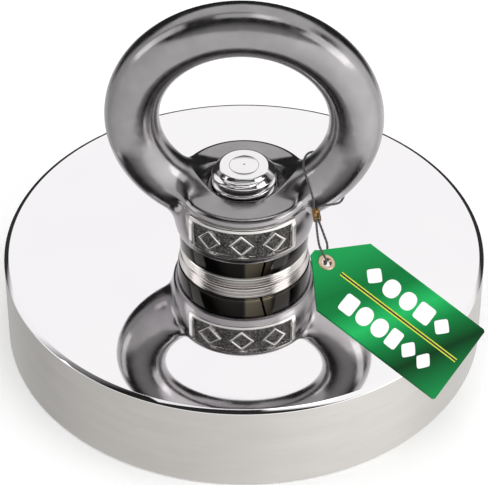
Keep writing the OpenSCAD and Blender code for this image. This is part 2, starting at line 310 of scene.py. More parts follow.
class Finish:
    """A material's node tree, with short ways to add the nodes that metals and card need."""

    def __init__(self, name, base, metallic=1.0, roughness=0.2, **sockets):
        self.material = bpy.data.materials.new(name)
        self.material.use_nodes = True
        self.nodes, self.links = self.material.node_tree.nodes, self.material.node_tree.links
        self.shader = self.nodes["Principled BSDF"]
        self.set(self.shader, "Base Color", (*base, 1.0))
        self.set(self.shader, "Metallic", metallic)
        self.set(self.shader, "Roughness", roughness)
        for socket, value in sockets.items():
            self.set(self.shader, socket.replace("_", " ").title().replace("Ior", "IOR"), value)
        self.place = None

    @staticmethod
    def set(node, socket, value):
        node.inputs[socket].default_value = value

    def add(self, kind, **settings):
        node = self.nodes.new(kind)
        for key, value in settings.items():
            setattr(node, key, value)
        return node

    def scaled(self, scale):
        """Object coordinates times a scale for each axis."""
        if self.place is None:
            self.place = self.add("ShaderNodeTexCoord")
        mapping = self.add("ShaderNodeMapping")
        self.set(mapping, "Scale", scale)
        self.links.new(self.place.outputs["Object"], mapping.inputs["Vector"])
        return mapping.outputs["Vector"]

    def noise(self, scale, detail=3.0, rough=0.6):
        """Noise on object coordinates; scale is one number, or one for each axis, in cycles a metre."""
        scale = scale if isinstance(scale, tuple) else (scale,) * 3
        node = self.add("ShaderNodeTexNoise")
        self.set(node, "Scale", 1.0)
        self.set(node, "Detail", detail)
        self.set(node, "Roughness", rough)
        self.links.new(self.scaled(scale), node.inputs["Vector"])
        return node.outputs["Fac"]

    def span(self, value, low, high, start=0.3, end=0.7):
        """Maps a value from start..end to low..high."""
        node = self.add("ShaderNodeMapRange")
        for socket, number in (("From Min", start), ("From Max", end), ("To Min", low), ("To Max", high)):
            self.set(node, socket, number)
        self.links.new(value, node.inputs["Value"])
        return node.outputs["Result"]

    def ramp(self, value, *stops):
        """Colour ramp through (place, colour) stops."""
        node = self.add("ShaderNodeValToRGB")
        elements = node.color_ramp.elements
        elements[0].position, elements[0].color = stops[0][0], (*stops[0][1], 1)
        elements[1].position, elements[1].color = stops[-1][0], (*stops[-1][1], 1)
        for place, tone in stops[1:-1]:
            elements.new(place).color = (*tone, 1)
        self.links.new(value, node.inputs["Fac"])
        return node.outputs["Color"]

    def math(self, operation, one, two):
        node = self.add("ShaderNodeMath", operation=operation)
        for number, value in enumerate((one, two)):
            if isinstance(value, (int, float)):
                node.inputs[number].default_value = value
            else:
                self.links.new(value, node.inputs[number])
        return node.outputs["Value"]

    def axes(self):
        """Object coordinates in metres, as three numbers."""
        split = self.add("ShaderNodeSeparateXYZ")
        self.links.new(self.scaled((1.0, 1.0, 1.0)), split.inputs["Vector"])
        return [split.outputs[axis] for axis in "XYZ"]

    def groove_shaded(self, tone, thread, root=0.0034, crest=0.0038, fade=0.0003, groove_shade=(0.06, 0.057, 0.053)):
        """A colour with painted shade inside a thread: it goes dark towards the grooves' roots, by the
        distance from the axis and the height, all in metres. thread gives the thread's lowest and highest
        point."""
        x, y, z = self.axes()
        squared = self.math("ADD", self.math("MULTIPLY", x, x), self.math("MULTIPLY", y, y))
        deep = self.span(self.math("SQRT", squared, 0.0), 1.0, 0.0, root, crest)
        below = self.span(z, 1.0, 0.0, thread[1] - fade, thread[1])
        above = self.span(z, 0.0, 1.0, thread[0], thread[0] + fade)
        amount = self.math("MULTIPLY", deep, self.math("MULTIPLY", below, above))
        mixed = self.add("ShaderNodeMix", data_type="RGBA")
        self.links.new(amount, mixed.inputs["Factor"])
        self.links.new(tone, mixed.inputs[6])
        mixed.inputs[7].default_value = (*groove_shade, 1.0)
        return mixed.outputs[2]

    def join(self, value, socket):
        self.links.new(value, self.shader.inputs[socket])

    def bump(self, height, strength, distance):
        node = self.add("ShaderNodeBump")
        self.set(node, "Strength", strength)
        self.set(node, "Distance", distance)
        self.links.new(height, node.inputs["Height"])
        self.links.new(node.outputs["Normal"], self.shader.inputs["Normal"])


def shade(tone, factor):
    """A colour made lighter or darker."""
    return tuple(min(1.0, channel * factor) for channel in tone)


def mirror_nickel(name, tone, thread=None):
    """Bright plating: nearly a mirror, with faint haze, lilac clouds and fine waves. thread is a thread's
    lowest and highest point in metres; between them painted shade darkens the plating towards the grooves'
    roots."""
    finish = Finish(name, tone, roughness=0.03)
    haze, clouds = finish.noise(260.0), finish.noise(45.0, 2.0)
    finish.join(finish.span(haze, 0.018, 0.05), "Roughness")
    lilac = (tone[0] * 0.985, tone[1] * 0.972, tone[2])
    plating = finish.ramp(clouds, (0.35, lilac), (0.6, tone))
    # painted shade in the thread's grooves, darker towards their roots
    finish.join(plating if thread is None else finish.groove_shaded(plating, thread), "Base Color")
    finish.bump(finish.noise(90.0, 2.0), 0.02, 0.0002)
    return finish.material


def satin_nickel(name, tone):
    """Plating over a turned wall: streaks that run round the wall, and a soft sheen."""
    finish = Finish(name, tone, roughness=0.33)
    streaks = finish.noise((35.0, 35.0, 9000.0), 4.0, 0.7)
    clouds = finish.noise((120.0, 120.0, 500.0), 3.0)
    both = finish.math("ADD", finish.math("MULTIPLY", streaks, 0.55), finish.math("MULTIPLY", clouds, 0.45))
    finish.join(finish.ramp(both, (0.35, shade(tone, 0.93)), (0.65, shade(tone, 1.06))), "Base Color")
    finish.join(finish.span(both, 0.30, 0.42), "Roughness")
    finish.bump(streaks, 0.12, 0.00004)
    return finish.material


def cast_steel(name, tone):
    """Tumbled and polished casting: soft blurred reflections, low waves and fine polishing marks."""
    finish = Finish(name, tone, roughness=0.17)
    waves = finish.noise(210.0, 2.0)
    marks = finish.noise((2600.0, 2600.0, 900.0), 4.0, 0.7)
    finish.join(finish.span(finish.noise(700.0, 4.0), 0.12, 0.24), "Roughness")
    finish.join(finish.ramp(waves, (0.3, shade(tone, 0.9)), (0.7, shade(tone, 1.08))), "Base Color")
    both = finish.math("ADD", waves, finish.math("MULTIPLY", marks, 0.06))
    finish.bump(both, 0.22, 0.0002)
    return finish.material


def stippled_floor(name, tone):
    """Rough as-cast floor with dark pits."""
    finish = Finish(name, tone, roughness=0.5, metallic=0.85)
    grain = finish.noise(3800.0, 3.0, 0.7)
    finish.join(finish.ramp(grain, (0.35, shade(tone, 0.12)), (0.62, shade(tone, 1.5))), "Base Color")
    finish.join(finish.span(grain, 0.65, 0.32), "Roughness")
    finish.bump(grain, 0.7, 0.00012)
    return finish.material


def turned_metal(name, tone, rough=0.14, lines=7000.0, depth=0.10):
    """Lathe-turned metal: fine lines round the axis."""
    finish = Finish(name, tone, roughness=rough)
    lathe = finish.noise((60.0, 60.0, lines), 4.0, 0.75)
    finish.join(finish.span(lathe, rough * 0.7, rough * 1.5), "Roughness")
    finish.join(finish.ramp(lathe, (0.3, shade(tone, 0.82)), (0.7, shade(tone, 1.12))), "Base Color")
    finish.bump(lathe, depth, 0.00005)
    return finish.material


def oiled_steel(name, tone):
    """Dark polished spring steel with a faint olive patchiness. One strip on the front is painted paler and
    olive: a painted reflection. Each edge of the strip is where it starts to fade and where it ends, in
    metres along X or Y."""
    left_edge, right_edge, front_edge = (-0.0001, 0.0003), (0.0032, 0.0037), (-0.001, 0.0)
    finish = Finish(name, tone, roughness=0.09)
    patches = finish.noise(160.0, 3.0)
    x, y, _ = finish.axes()
    left, right = finish.span(x, 0.0, 1.0, *left_edge), finish.span(x, 1.0, 0.0, *right_edge)
    front = finish.span(y, 1.0, 0.0, *front_edge)
    # painted reflection: a pale olive strip on the front of the washer
    painted_reflection = finish.math("MULTIPLY", finish.math("MULTIPLY", left, right), front)
    both = finish.math("ADD", finish.math("MULTIPLY", patches, 0.3), finish.math("MULTIPLY", painted_reflection, 0.7))
    olive = (tone[0] * 6, tone[1] * 5.6, tone[2] * 4.4)
    stops = ((0.1, shade(tone, 0.8)), (0.3, shade(tone, 1.3)), (0.9, olive))
    finish.join(finish.ramp(both, *stops), "Base Color")
    finish.join(finish.span(patches, 0.06, 0.14), "Roughness")
    return finish.material


def dull_plating(name, tone, rough=0.3):
    """Plating on a sintered or turned face: cloudy, with small pits."""
    finish = Finish(name, tone, roughness=rough)
    clouds = finish.noise(180.0, 5.0)
    pits = finish.noise(5200.0, 2.0)
    finish.join(finish.ramp(clouds, (0.3, shade(tone, 0.85)), (0.7, shade(tone, 1.08))), "Base Color")
    finish.join(finish.span(clouds, rough * 0.75, rough * 1.4), "Roughness")
    finish.bump(pits, 0.12, 0.00006)
    return finish.material


def cured_resin(name, tone):
    """Glossy epoxy with faint swirls and small bubbles."""
    finish = Finish(name, tone, metallic=0.0, roughness=0.3, coat_weight=0.3, coat_roughness=0.1)
    swirl = finish.noise(420.0, 4.0)
    finish.join(finish.ramp(swirl, (0.3, shade(tone, 0.6)), (0.7, shade(tone, 1.9))), "Base Color")
    finish.join(finish.span(swirl, 0.22, 0.42), "Roughness")
    finish.bump(finish.noise(1900.0, 2.0), 0.25, 0.0001)
    return finish.material


def printed_card(name, light, green, dark):
    """Glossy printed card: light and dark bands run slantwise over the green. It reads the card's own plan,
    whose first number runs along the card and whose second runs across it."""
    finish = Finish(name, green, metallic=0.0, roughness=0.42, specular_ior_level=0.1, coat_weight=0.03)
    plan = finish.add("ShaderNodeUVMap", uv_map="Plan")
    split = finish.add("ShaderNodeSeparateXYZ")
    finish.links.new(plan.outputs["UV"], split.inputs["Vector"])
    along, across = split.outputs["X"], split.outputs["Y"]
    lean = finish.math("MULTIPLY", finish.math("SUBTRACT", 0.5, across), 0.215)
    slant = finish.math("ADD", finish.math("MULTIPLY", along, 0.85), finish.math("ADD", lean, 0.05))
    tone = finish.ramp(
        slant,
        (0.0, shade(light, 0.8)),
        (0.14, shade(light, 0.68)),
        (0.316, green),
        (0.40, shade(green, 1.15)),
        (0.535, light),
        (0.65, shade(green, 1.2)),
        (0.79, dark),
        (1.0, shade(light, 0.55)),
    )
    finish.join(tone, "Base Color")
    fibre = finish.noise(5200.0, 3.0)
    finish.join(finish.span(fibre, 0.26, 0.38), "Roughness")
    finish.bump(fibre, 0.05, 0.00004)
    return finish.material


def ink(name, tone, rough=0.35):
    """Printed ink, with a slight mottle."""
    finish = Finish(name, tone, metallic=0.0, roughness=rough, coat_weight=0.25, coat_roughness=0.08)
    mottle = finish.noise(4200.0, 3.0)
    finish.join(finish.ramp(mottle, (0.3, shade(tone, 0.94)), (0.7, tone)), "Base Color")
    finish.join(finish.span(mottle, rough * 0.85, rough * 1.2), "Roughness")
    return finish.material


def spun_thread(name, tone):
    """Matt fibre with light flecks."""
    finish = Finish(name, tone, metallic=0.0, roughness=0.75, sheen_weight=0.25)
    fibre = finish.noise(9000.0, 3.0, 0.7)
    finish.join(finish.ramp(fibre, (0.3, shade(tone, 0.5)), (0.7, shade(tone, 2.2))), "Base Color")
    finish.bump(fibre, 0.4, 0.00003)
    return finish.material


# ---------------------------------------------------------------------------------------------
# Shapes
# ---------------------------------------------------------------------------------------------


def bolt_surface(settings):
    """The whole bolt as one sheet wrapped round its axis, from the middle of its tip, down the thread, the
    cone and the head to the middle of the socket's floor. The thread's radius at height z and angle a is the
    crest less the depth times a trapezoid wave of (z / pitch - a / full turn), faded out at its lower end
    and held inside the tip's chamfer. The socket's radius is the half width across flats over the cosine of
    the angle to the nearest flat."""
    sides, thread_rows, thread_depth = 144, 262, 0.62
    head_rim, socket_half, socket_mouth = 0.35, 2.5, 3.2
    angles = np.linspace(0, 2 * math.pi, sides, endpoint=False)[None, :]
    low, tip = BOLT_LOW[2], BOLT_HIGH[2]
    crest, pitch, chamfer, head = settings.crest, settings.pitch, settings.tip_chamfer, settings.head
    cone_top = low + head_rim + head - crest
    thread_low = tip - chamfer - THREAD_TURNS * pitch
    face = crest - chamfer

    def rows(shape):
        """Radius and height of each pair, all round the axis."""
        shape = np.array(shape)[:, :, None] + 0 * angles
        return shape[:, 0], shape[:, 1]

    # the tip's radius and its drop: centre dot, turned circle and rounded rim
    tip_shape = (
        (0, 0.1), (0.08, 0.1), (0.12, 0.06), (0.17, 0.01), (0.3, 0), (1.72, 0), (1.77, 0.015), (1.8, 0.03),
        (1.83, 0.015), (1.88, 0), (face - 0.12, 0), (face - 0.05, 0.012), (face - 0.01, 0.04),
    )
    heights = np.linspace(tip - 0.08, thread_low - 1.0, thread_rows)[:, None]
    wave = np.abs(((heights / pitch - angles / (2 * math.pi)) % 1.0) * 2 - 1)
    fade = smooth_step(thread_low - 0.8, thread_low + 0.6, heights)
    groove = thread_depth * smooth_step(0.16, 0.84, wave) * fade
    thread = np.minimum(crest - groove, face + (tip - heights))
    foot_shape = (
        (crest, thread_low - 1.4), (crest, cone_top + 0.25), (crest + 0.12, cone_top - 0.1),
        (head - 0.08, low + 0.43), (head, low + head_rim), (head, low + 0.12), (head - 0.05, low + 0.04),
        (head - 0.15, low), (socket_mouth + 0.15, low), (socket_mouth, low + 0.05),
    )
    flat = socket_half / np.cos((angles + math.pi / 6) % (math.pi / 3) - math.pi / 6)
    socket = np.minimum(flat, socket_mouth)
    # the socket's walls as a share of its width and a depth, then its drilled floor as radius and depth
    wall_shape = ((1.04, 0.22), (1.0, 0.3), (1.0, 1.4), (1.0, 2.75), (0.97, 2.8))
    floor_shape = ((1.6, 2.9), (0.0, 3.3))
    stretches = [
        rows([(radius, tip - drop) for radius, drop in tip_shape]),
        (thread, heights + 0 * angles),
        rows(foot_shape),
        *((share * socket, low + deep + 0 * angles) for share, deep in wall_shape),
        rows([(radius, low + deep) for radius, deep in floor_shape]),
    ]
    radius, height = (np.vstack(part) for part in zip(*stretches))
    grid = np.stack([radius * np.cos(angles), radius * np.sin(angles), height], -1)
    return stitched(grid)


def split_ring():
    """Lock washer: a rounded oblong section carried round the bolt from one side of the cut to the other.
    The angle grows with height, so both ends lean. Each end closes on the section's middle."""
    low, high = LOCK_LOW[2], LOCK_HIGH[2]
    inner, outer, inner_soft, outer_soft = 4.1, LOCK_HIGH[0], 0.2, 0.22
    section = rounded_outline([
        (inner, low, inner_soft), (outer, low, outer_soft),
        (outer, high, outer_soft), (inner, high, inner_soft),
    ], 6)
    cut, lean, gap, steps = math.radians(-73), math.tan(math.radians(12)), 0.3, 200
    half = gap / 2 / outer
    angles = np.linspace(cut + half, cut + 2 * math.pi - half, steps)
    centre = section.mean(0)[None].repeat(len(section), 0)
    sections = np.concatenate([centre[None], np.repeat(section[None], len(angles), 0), centre[None]])
    angles = np.concatenate([angles[:1], angles, angles[-1:]])[:, None]
    radius, height = sections[..., 0], sections[..., 1]
    leaning = angles + lean * (height - (low + high) / 2) / outer
    grid = np.stack([radius * np.cos(leaning), radius * np.sin(leaning), height], -1)
    return stitched(grid, close_rows=False, close_columns=True)


class EyeShape:
    """The eye nut's outline as a distance: negative inside the metal, in the eye's own frame, mm."""

    rise, shoulder, foot_edge = 16.1, 0.9, 0.3
    bore, bevel, open_above = 4.0, 0.4, 3.2
    low, high = 0.9, 5.6
    pocket, pocket_half, pocket_slack = 7.75, 45.5, 0.28

    def __init__(self, settings):
        self.foot = EYE_LOW[2]
        self.centre = self.foot + self.rise
        self.bar = settings.bar
        a, b = settings.width / 2 - self.bar, settings.height / 2 - self.bar
        cos45 = math.cos(math.radians(45))
        self.shift = (a - b) * cos45 / (2 * cos45 - 1)
        self.side, self.flat = a - self.shift, b + self.shift
        self.boss, self.tall, self.blend = settings.boss, settings.boss_height, settings.blend

    def wall(self, height):
        """Radius of the boss's barrel wall at a height above its foot."""
        middle = (self.tall - 1.2) / 2
        return self.boss - 0.4 * ((height - middle) / middle) ** 2

    def plate(self, height):
        """Radius of the panels' face at a height above the foot: it leans in to meet shoulder and foot."""
        return self.boss + 0.1 - 0.28 * smooth_step(4.4, 6.2, height) - 0.2 * smooth_step(2.2, 0.4, height)

    def distance(self, x, y, z):
        """Smooth union of the oval bar (distance to a line of four arcs, less the bar's radius) and the
        boss (a barrel with a round shoulder), less the bore with its bevelled mouths and two pockets."""
        side_x, side_z = np.abs(x), np.abs(z - self.centre)
        near_side = side_z <= side_x - self.shift
        in_plane = np.where(
            near_side,
            np.hypot(side_x - self.shift, side_z) - self.side,
            np.hypot(side_x, side_z + self.shift) - self.flat,
        )
        bar = np.hypot(in_plane, y) - self.bar
        bar = np.maximum(bar, self.foot + 1.2 - z)
        around, up = np.hypot(x, y), z - self.foot
        edge = np.where(up > self.tall / 2, self.shoulder, self.foot_edge)
        out = around - (self.wall(np.clip(up, 0, self.tall - 1.2)) - edge)
        over = np.abs(up - self.tall / 2) - (self.tall / 2 - edge)
        beyond = np.hypot(np.maximum(out, 0), np.maximum(over, 0))
        boss = beyond + np.minimum(np.maximum(out, over), 0) - edge
        reach = self.blend * (1 + 1.3 * smooth_step(self.tall - 1.6, self.tall + 0.6, up))
        near = np.clip(0.5 + 0.5 * (boss - bar) / reach, 0, 1)
        body = boss + (bar - boss) * near - reach * near * (1 - near)
        mouth = self.bevel - np.minimum(np.minimum(up, self.tall - up), self.bevel)
        hole = np.minimum(self.bore + mouth - around, self.tall + self.open_above - up)
        solid_part = self.harder(body, hole, 0.12)
        facing = np.abs(np.degrees(np.arctan2(x, np.abs(y))))
        band = np.maximum(self.low + self.pocket_slack - up, up - (self.high - self.pocket_slack))
        pocket = np.maximum(np.maximum(self.pocket - around, (facing - self.pocket_half) * 0.15), band)
        return self.harder(solid_part, -pocket, 0.1)

    @staticmethod
    def harder(one, two, reach):
        """Intersection of two distances with a small rounding."""
        near = np.clip(0.5 - 0.5 * (two - one) / reach, 0, 1)
        return two + (one - two) * near + reach * near * (1 - near)


CORNERS = np.array([(i, j, k) for i in (0, 1) for j in (0, 1) for k in (0, 1)])
EDGES = [(a, b) for a in range(8) for b in range(a + 1, 8) if np.abs(CORNERS[a] - CORNERS[b]).sum() == 1]


def skin(distance, axes):
    """Closed surface where a distance is zero, on a box of cells. Each cell that the surface crosses has
    one point: the mean of the crossings on its edges, pulled onto the surface along the slope of the
    distance. Each crossed edge joins the points of the four cells round it."""
    step, pulls, furthest, flattest = 0.01, 4, 0.06, 0.2
    values = np.stack([distance(axes[0][:, None], axes[1][None, :], height) for height in axes[2]], -1)
    inside = values < 0
    shape = tuple(n - 1 for n in values.shape)
    count = np.zeros(shape, np.int8)
    for i, j, k in CORNERS:
        count += inside[i : i + shape[0], j : j + shape[1], k : k + shape[2]]
    cells = np.argwhere((count > 0) & (count < 8))
    number = np.full(shape, -1, np.int64)
    number[tuple(cells.T)] = np.arange(len(cells))
    corner_cells = cells[:, None, :] + CORNERS[None]
    held = values[tuple(np.moveaxis(corner_cells, -1, 0))]
    places = np.stack([axes[k][corner_cells[..., k]] for k in range(3)], -1)
    total, hits = np.zeros((len(cells), 3)), np.zeros(len(cells))
    for a, b in EDGES:
        crossed = (held[:, a] < 0) != (held[:, b] < 0)
        part = np.where(crossed, held[:, a] / np.where(crossed, held[:, a] - held[:, b], 1), 0)
        total += crossed[:, None] * (places[:, a] + part[:, None] * (places[:, b] - places[:, a]))
        hits += crossed
    points = total / hits[:, None]
    for _ in range(pulls):
        here = distance(*points.T)
        rise = [
            distance(*(points + nudge).T) - distance(*(points - nudge).T) for nudge in step * np.eye(3)
        ]
        slope = np.stack(rise, -1) / (2 * step)
        size = np.maximum((slope**2).sum(1), flattest)
        points = points - np.clip(here / size, -furthest, furthest)[:, None] * slope
    faces = []
    for axis in range(3):
        one, two = (axis + 1) % 3, (axis + 2) % 3
        low, high = [slice(None)] * 3, [slice(None)] * 3
        low[axis], high[axis] = slice(0, -1), slice(1, None)
        edges = np.argwhere(inside[tuple(low)] != inside[tuple(high)])
        first, second = edges[:, one], edges[:, two]
        edges = edges[(first > 0) & (second > 0) & (first < shape[one]) & (second < shape[two])]
        round_it = []
        for back_one, back_two in ((1, 1), (0, 1), (0, 0), (1, 0)):
            cell = edges.copy()
            cell[:, one] -= back_one
            cell[:, two] -= back_two
            round_it.append(number[tuple(cell.T)])
        quads = np.stack(round_it, -1)
        outward = inside[tuple(edges.T)]
        faces.append(np.where(outward[:, None], quads, quads[:, ::-1]))
    return points, np.vstack(faces)


def marking_panel(shape, side):
    """Curved plate on the boss. Its face is a radius over angle and height: a smooth frame, a sunken field
    with a grainy floor, and three hollow lozenges that rise to the frame's level. Returns the plate's
    points and faces, and which of its faces are the field's rough floor."""
    half, field_half, mark_places = math.radians(48), math.radians(43), np.radians([-27, 0, 27])
    low, high, frame_w, level = shape.low, shape.high, 0.5, 8.7
    sink, grain_height, edge, edge_drop, edge_w = 0.45, 0.03, 0.07, 0.14, 0.16
    back_radius, back_rows, end_radius = 7.6, 5, 8.0
    across = np.linspace(-half, half, 301)
    heights = np.linspace(low, high, 97)
    angle_grid, up = np.meshgrid(across, heights, indexing="ij")
    arc = angle_grid * level
    inset = np.minimum.reduce([
        (field_half - np.abs(angle_grid)) * level, up - (low + frame_w), (high - frame_w) - up
    ])
    in_field = smooth_step(-edge, edge, inset)
    mark = np.full(arc.shape, -1.0)
    half_w, half_h, line = 1.6, (high - low - 2 * frame_w - 0.4) / 2, 0.36
    middle = (low + high) / 2
    slope = half_w * half_h / math.hypot(half_w, half_h)
    for place in mark_places:
        outer = (1 - np.abs(arc - place * level) / half_w - np.abs(up - middle) / half_h) * slope
        mark = np.maximum(mark, np.minimum(outer, line - outer))
    raised = smooth_step(-edge, edge, mark)
    grain = np.random.default_rng(11).normal(size=arc.shape)
    for _ in range(2):
        grain = (grain + sum(np.roll(grain, by, axis) for axis in (0, 1) for by in (1, -1))) / 5
    grain = grain / grain.std()
    depth = in_field * (1 - raised)
    face = shape.plate(up) - sink * depth + grain_height * grain * depth
    rim = np.minimum.reduce([(half - np.abs(angle_grid)) * level, up - low, high - up])
    face = face - edge_drop * (1 - smooth_step(0, edge_w, rim)) ** 2
    back = np.full((len(across), back_rows), back_radius)
    back_up = np.linspace(high, low, back_rows)[None].repeat(len(across), 0)
    radius = np.hstack([face, back])
    height = np.hstack([up, back_up])
    turn = np.hstack([angle_grid, angle_grid[:, :back_rows]])
    end_r, end_z = np.full(radius.shape[1], end_radius), np.full(radius.shape[1], middle)
    radius = np.vstack([end_r, radius, end_r])
    height = np.vstack([end_z, height, end_z])
    turn = np.vstack([turn[:1], turn, turn[-1:]])
    heading = turn - math.pi / 2 + (math.pi if side else 0)
    grid = np.stack([radius * np.cos(heading), radius * np.sin(heading), height + shape.foot], -1)
    points, quads = stitched(grid, close_rows=False, close_columns=True)
    rough = np.pad(depth, ((1, 1), (0, back_rows)))
    lowest = np.minimum(rough[:-1], rough[1:])
    return points, quads, np.minimum(lowest, np.roll(lowest, -1, 1)).reshape(-1) > 0.5


def card_frame(turned_by):
    """Matrix of the card's own frame: origin at the eyelet on its face, X along it, Y across, Z out of it.
    The card leans on the pot's rim."""
    slope, gap, thick, chamfer = 25.0, 0.12, 0.4, 0.5
    bearing, inwards, aside, skew = -43, 16.5, 1.2, 14
    return (
        turn_about("Z", turned_by + bearing)
        @ shift(POT_HIGH[0], 0, POT_HIGH[2])
        @ turn_about("Y", slope)
        @ shift(-inwards, -aside, gap + thick - chamfer * math.sin(math.radians(slope)))
        @ turn_about("Z", skew)
    )


def card_outline(settings, per_side=24):
    """Points round the five-sided card, each side cut into equal steps."""
    half, cut = settings.width / 2, 0.25
    back, nose, point = CARD_FRONT + settings.length, 0.9, 5.0
    upper = np.array([
        (back, half - cut), (back - cut, half), (CARD_FRONT + point, half),
        (CARD_FRONT + nose * point / half, nose), (CARD_FRONT + cut, nose / 2),
    ])
    corners = np.vstack([upper[::-1] * (1, -1), upper])
    part = np.linspace(0, 1, per_side, endpoint=False)[None, :, None]
    return (corners[:, None] + part * (np.roll(corners, -1, 0) - corners)[:, None]).reshape(-1, 2)


def card_surface(settings):
    """Flat card with an eyelet hole: rows run from the hole out over the face to the outline, round its cut
    edge and back over the underside; the last row meets the first through the hole's wall."""
    outline = card_outline(settings)
    reach = np.linalg.norm(outline, axis=1, keepdims=True)
    thick, soft, hole_r = settings.thickness, 0.05, 0.77
    hole = outline / reach * hole_r
    inner = outline * (1 - soft / reach)
    between = hole + (inner - hole) * 0.3
    levels = [
        (hole, 0.0), (between, 0.0), (inner, 0.0), (outline, -soft),
        (outline, -thick + soft), (inner, -thick), (between, -thick), (hole, -thick),
    ]
    grid = np.stack([np.hstack([flat, np.full((len(flat), 1), level)]) for flat, level in levels])
    return stitched(grid, close_rows=True, close_columns=True)


def stamp(outline, centre, low, high):
    """Thin printed mark: a closed outline about a centre, lifted by the ink's thickness."""
    middle = np.array(centre, float)[None].repeat(len(outline), 0)
    rows = [(middle, low), (outline, low), (outline, high), (middle, high)]
    grid = np.stack([np.hstack([flat, np.full((len(flat), 1), level)]) for flat, level in rows])
    return stitched(grid, close_rows=False, close_columns=True)


def super_ellipse(x, y, half_w, half_h, power, count=40):
    """Closed curve with |dx / w| ^ p + |dy / h| ^ p = 1: a lozenge at p = 1, an ellipse at 2 and a bar
    above 6."""
    angles = np.linspace(0, 2 * math.pi, count, endpoint=False) + math.pi / count
    c, s = np.cos(angles), np.sin(angles)
    reach = (np.abs(c / half_w) ** power + np.abs(s / half_h) ** power) ** (-1 / power)
    return np.stack([x + reach * c, y + reach * s], -1)


STRING_TO_CARD = (
    (8.93, -5.9, 21.3), (9.05, -7.4, 21.2), (9.2, -8.9, 21.05), (9.4, -10.1, 20.85), (9.75, -10.8, 20.45),
    (10.1, -11.15, 19.95), (10.25, -11.25, 19.45), (10.2, -11.15, 19), (10.1, -10.9, 18.7),
    (10.05, -10.35, 18.45), (10.05, -9.75, 18.5), (10.2, -9.2, 18.8), (10.35, -8.85, 19.35),
    (10.3, -8.5, 19.95), (9.95, -7.7, 20.5), (9.55, -6.7, 21), (9.27, -5.9, 21.3), (9.02, -4.45, 21.75),
)


def string_path(shape, settings, steps=8):
    """The string's centre line: from the ferrule down through the eyelet, back up, once round the eye's bar
    and into the ferrule again. A smooth cubic runs through the points and takes its slope from their
    neighbours."""
    loose, aside = 0.1, 0.5
    loop = shape.bar + settings.string / 2 + loose
    cos45 = math.cos(math.radians(45))
    centre = np.array([shape.shift + shape.side * cos45, 0, shape.centre - shape.side * cos45])
    turns = np.radians(np.arange(-40, -331, -25))[:, None]
    along = np.array([cos45, 0, cos45])
    round_bar = (
        centre + loop * np.cos(turns) * [0, -1, 0] + loop * np.sin(turns) * [-cos45, 0, cos45]
        - aside * np.cos(turns) * along
    )
    route = np.vstack([
        (8.75, -4.95, 21.6), STRING_TO_CARD, (9.6, -3.7, 21.85), round_bar,
        (8.5, -3.8, 23.1), (8.63, -4.35, 21.9), (8.73, -4.8, 21.64),
    ])
    padded = np.vstack([route[:1], route, route[-1:]])
    a, b, c, d = (padded[k : len(padded) - 3 + k][:, None] for k in range(4))
    part = np.linspace(0, 1, steps, endpoint=False)[None, :, None]
    curve = 0.5 * (
        2 * b + part * (c - a) + part**2 * (2 * a - 5 * b + 4 * c - d) + part**3 * (3 * b - a - 3 * c + d)
    )
    return np.vstack([curve.reshape(-1, 3), route[-1:]])


def carried_frames(path):
    """Two unit vectors across a path at each point, carried along it without twist."""
    ahead = np.gradient(path, axis=0)
    ahead /= np.linalg.norm(ahead, axis=1, keepdims=True)
    side = [np.array([1.0, 0, 0])]
    for direction in ahead:
        level = side[-1] - (side[-1] @ direction) * direction
        side.append(level / np.linalg.norm(level))
    side = np.array(side[1:])
    return side, np.cross(ahead, side)


def twisted_tube(path, radius, lay=1.1, sides=16, step=0.075):
    """Two-ply string: round the path, the radius swells on two sides that turn once for every lay of
    length."""
    run = np.concatenate([[0], np.cumsum(np.linalg.norm(np.diff(path, axis=0), axis=1))])
    count = int(run[-1] / step)
    even = np.linspace(0, run[-1], count)
    path = np.stack([np.interp(even, run, path[:, k]) for k in range(3)], -1)
    one, two = carried_frames(path)
    angles = np.linspace(0, 2 * math.pi, sides, endpoint=False)[None]
    twist = angles - 2 * math.pi * even[:, None] / lay
    reach = radius * (0.8 + 0.2 * np.abs(np.cos(twist)))
    tube = path[:, None] + reach[..., None] * (
        np.cos(angles)[..., None] * one[:, None] + np.sin(angles)[..., None] * two[:, None]
    )
    ends = [np.repeat(path[k][None, None], sides, 1) for k in (0, -1)]
    return stitched(np.concatenate([ends[0], tube, ends[1]]))


# ---------------------------------------------------------------------------------------------
# Operators
# ---------------------------------------------------------------------------------------------


# What polished metal reflects, as (place from 0 to 1, brightness or share). Front to back: UPPER_TONES,
# LOWER_TONES in the middle, FLANK_TONES to both sides, BACK and STRIP_ALONG. Left to right: FLANKS,
# RIGHT_TONES and STRIP_ACROSS. Upwards: STRIP_UP, LEVEL and HORIZON_TONES.
UPPER_TONES = (
    (0.0, 0.6), (1.0, 1.0), (0.15, 0.38), (0.28, 0.04), (0.50, 0.012), (0.60, 0.25), (0.68, 0.95),
)
LOWER_TONES = ((0.0, 1.3), (1.0, 0.04), (0.45, 1.2), (0.62, 0.7), (0.8, 0.06))
FLANK_TONES = ((0.0, 1.3), (1.0, 0.9), (0.45, 1.0), (0.62, 0.75), (0.8, 0.9))
FLANKS = ((0.0, 1.0), (1.0, 1.0), (0.36, 1.0), (0.42, 0.0), (0.58, 0.0), (0.64, 1.0))
RIGHT_TONES = ((0.0, 0.78), (1.0, 1.5), (0.5, 0.82))
BACK = ((0.0, 0.0), (1.0, 1.0), (0.70, 0.0), (0.80, 1.0))
STRIP_ACROSS = ((0.0, 0.0), (1.0, 0.0), (0.53, 0.0), (0.55, 1.0), (0.84, 1.0), (0.90, 0.0))
STRIP_ALONG = ((0.0, 0.0), (1.0, 1.0), (0.42, 0.0), (0.445, 1.0))
STRIP_UP = ((0.0, 0.0), (1.0, 1.0), (0.80, 0.0), (0.86, 1.0))
LEVEL = ((0.0, 0.0), (1.0, 1.0), (0.28, 0.0), (0.40, 1.0))
HORIZON_TONES = ((0.0, 0.0), (1.0, 1.0), (0.69, 0.0), (0.75, 1.0))


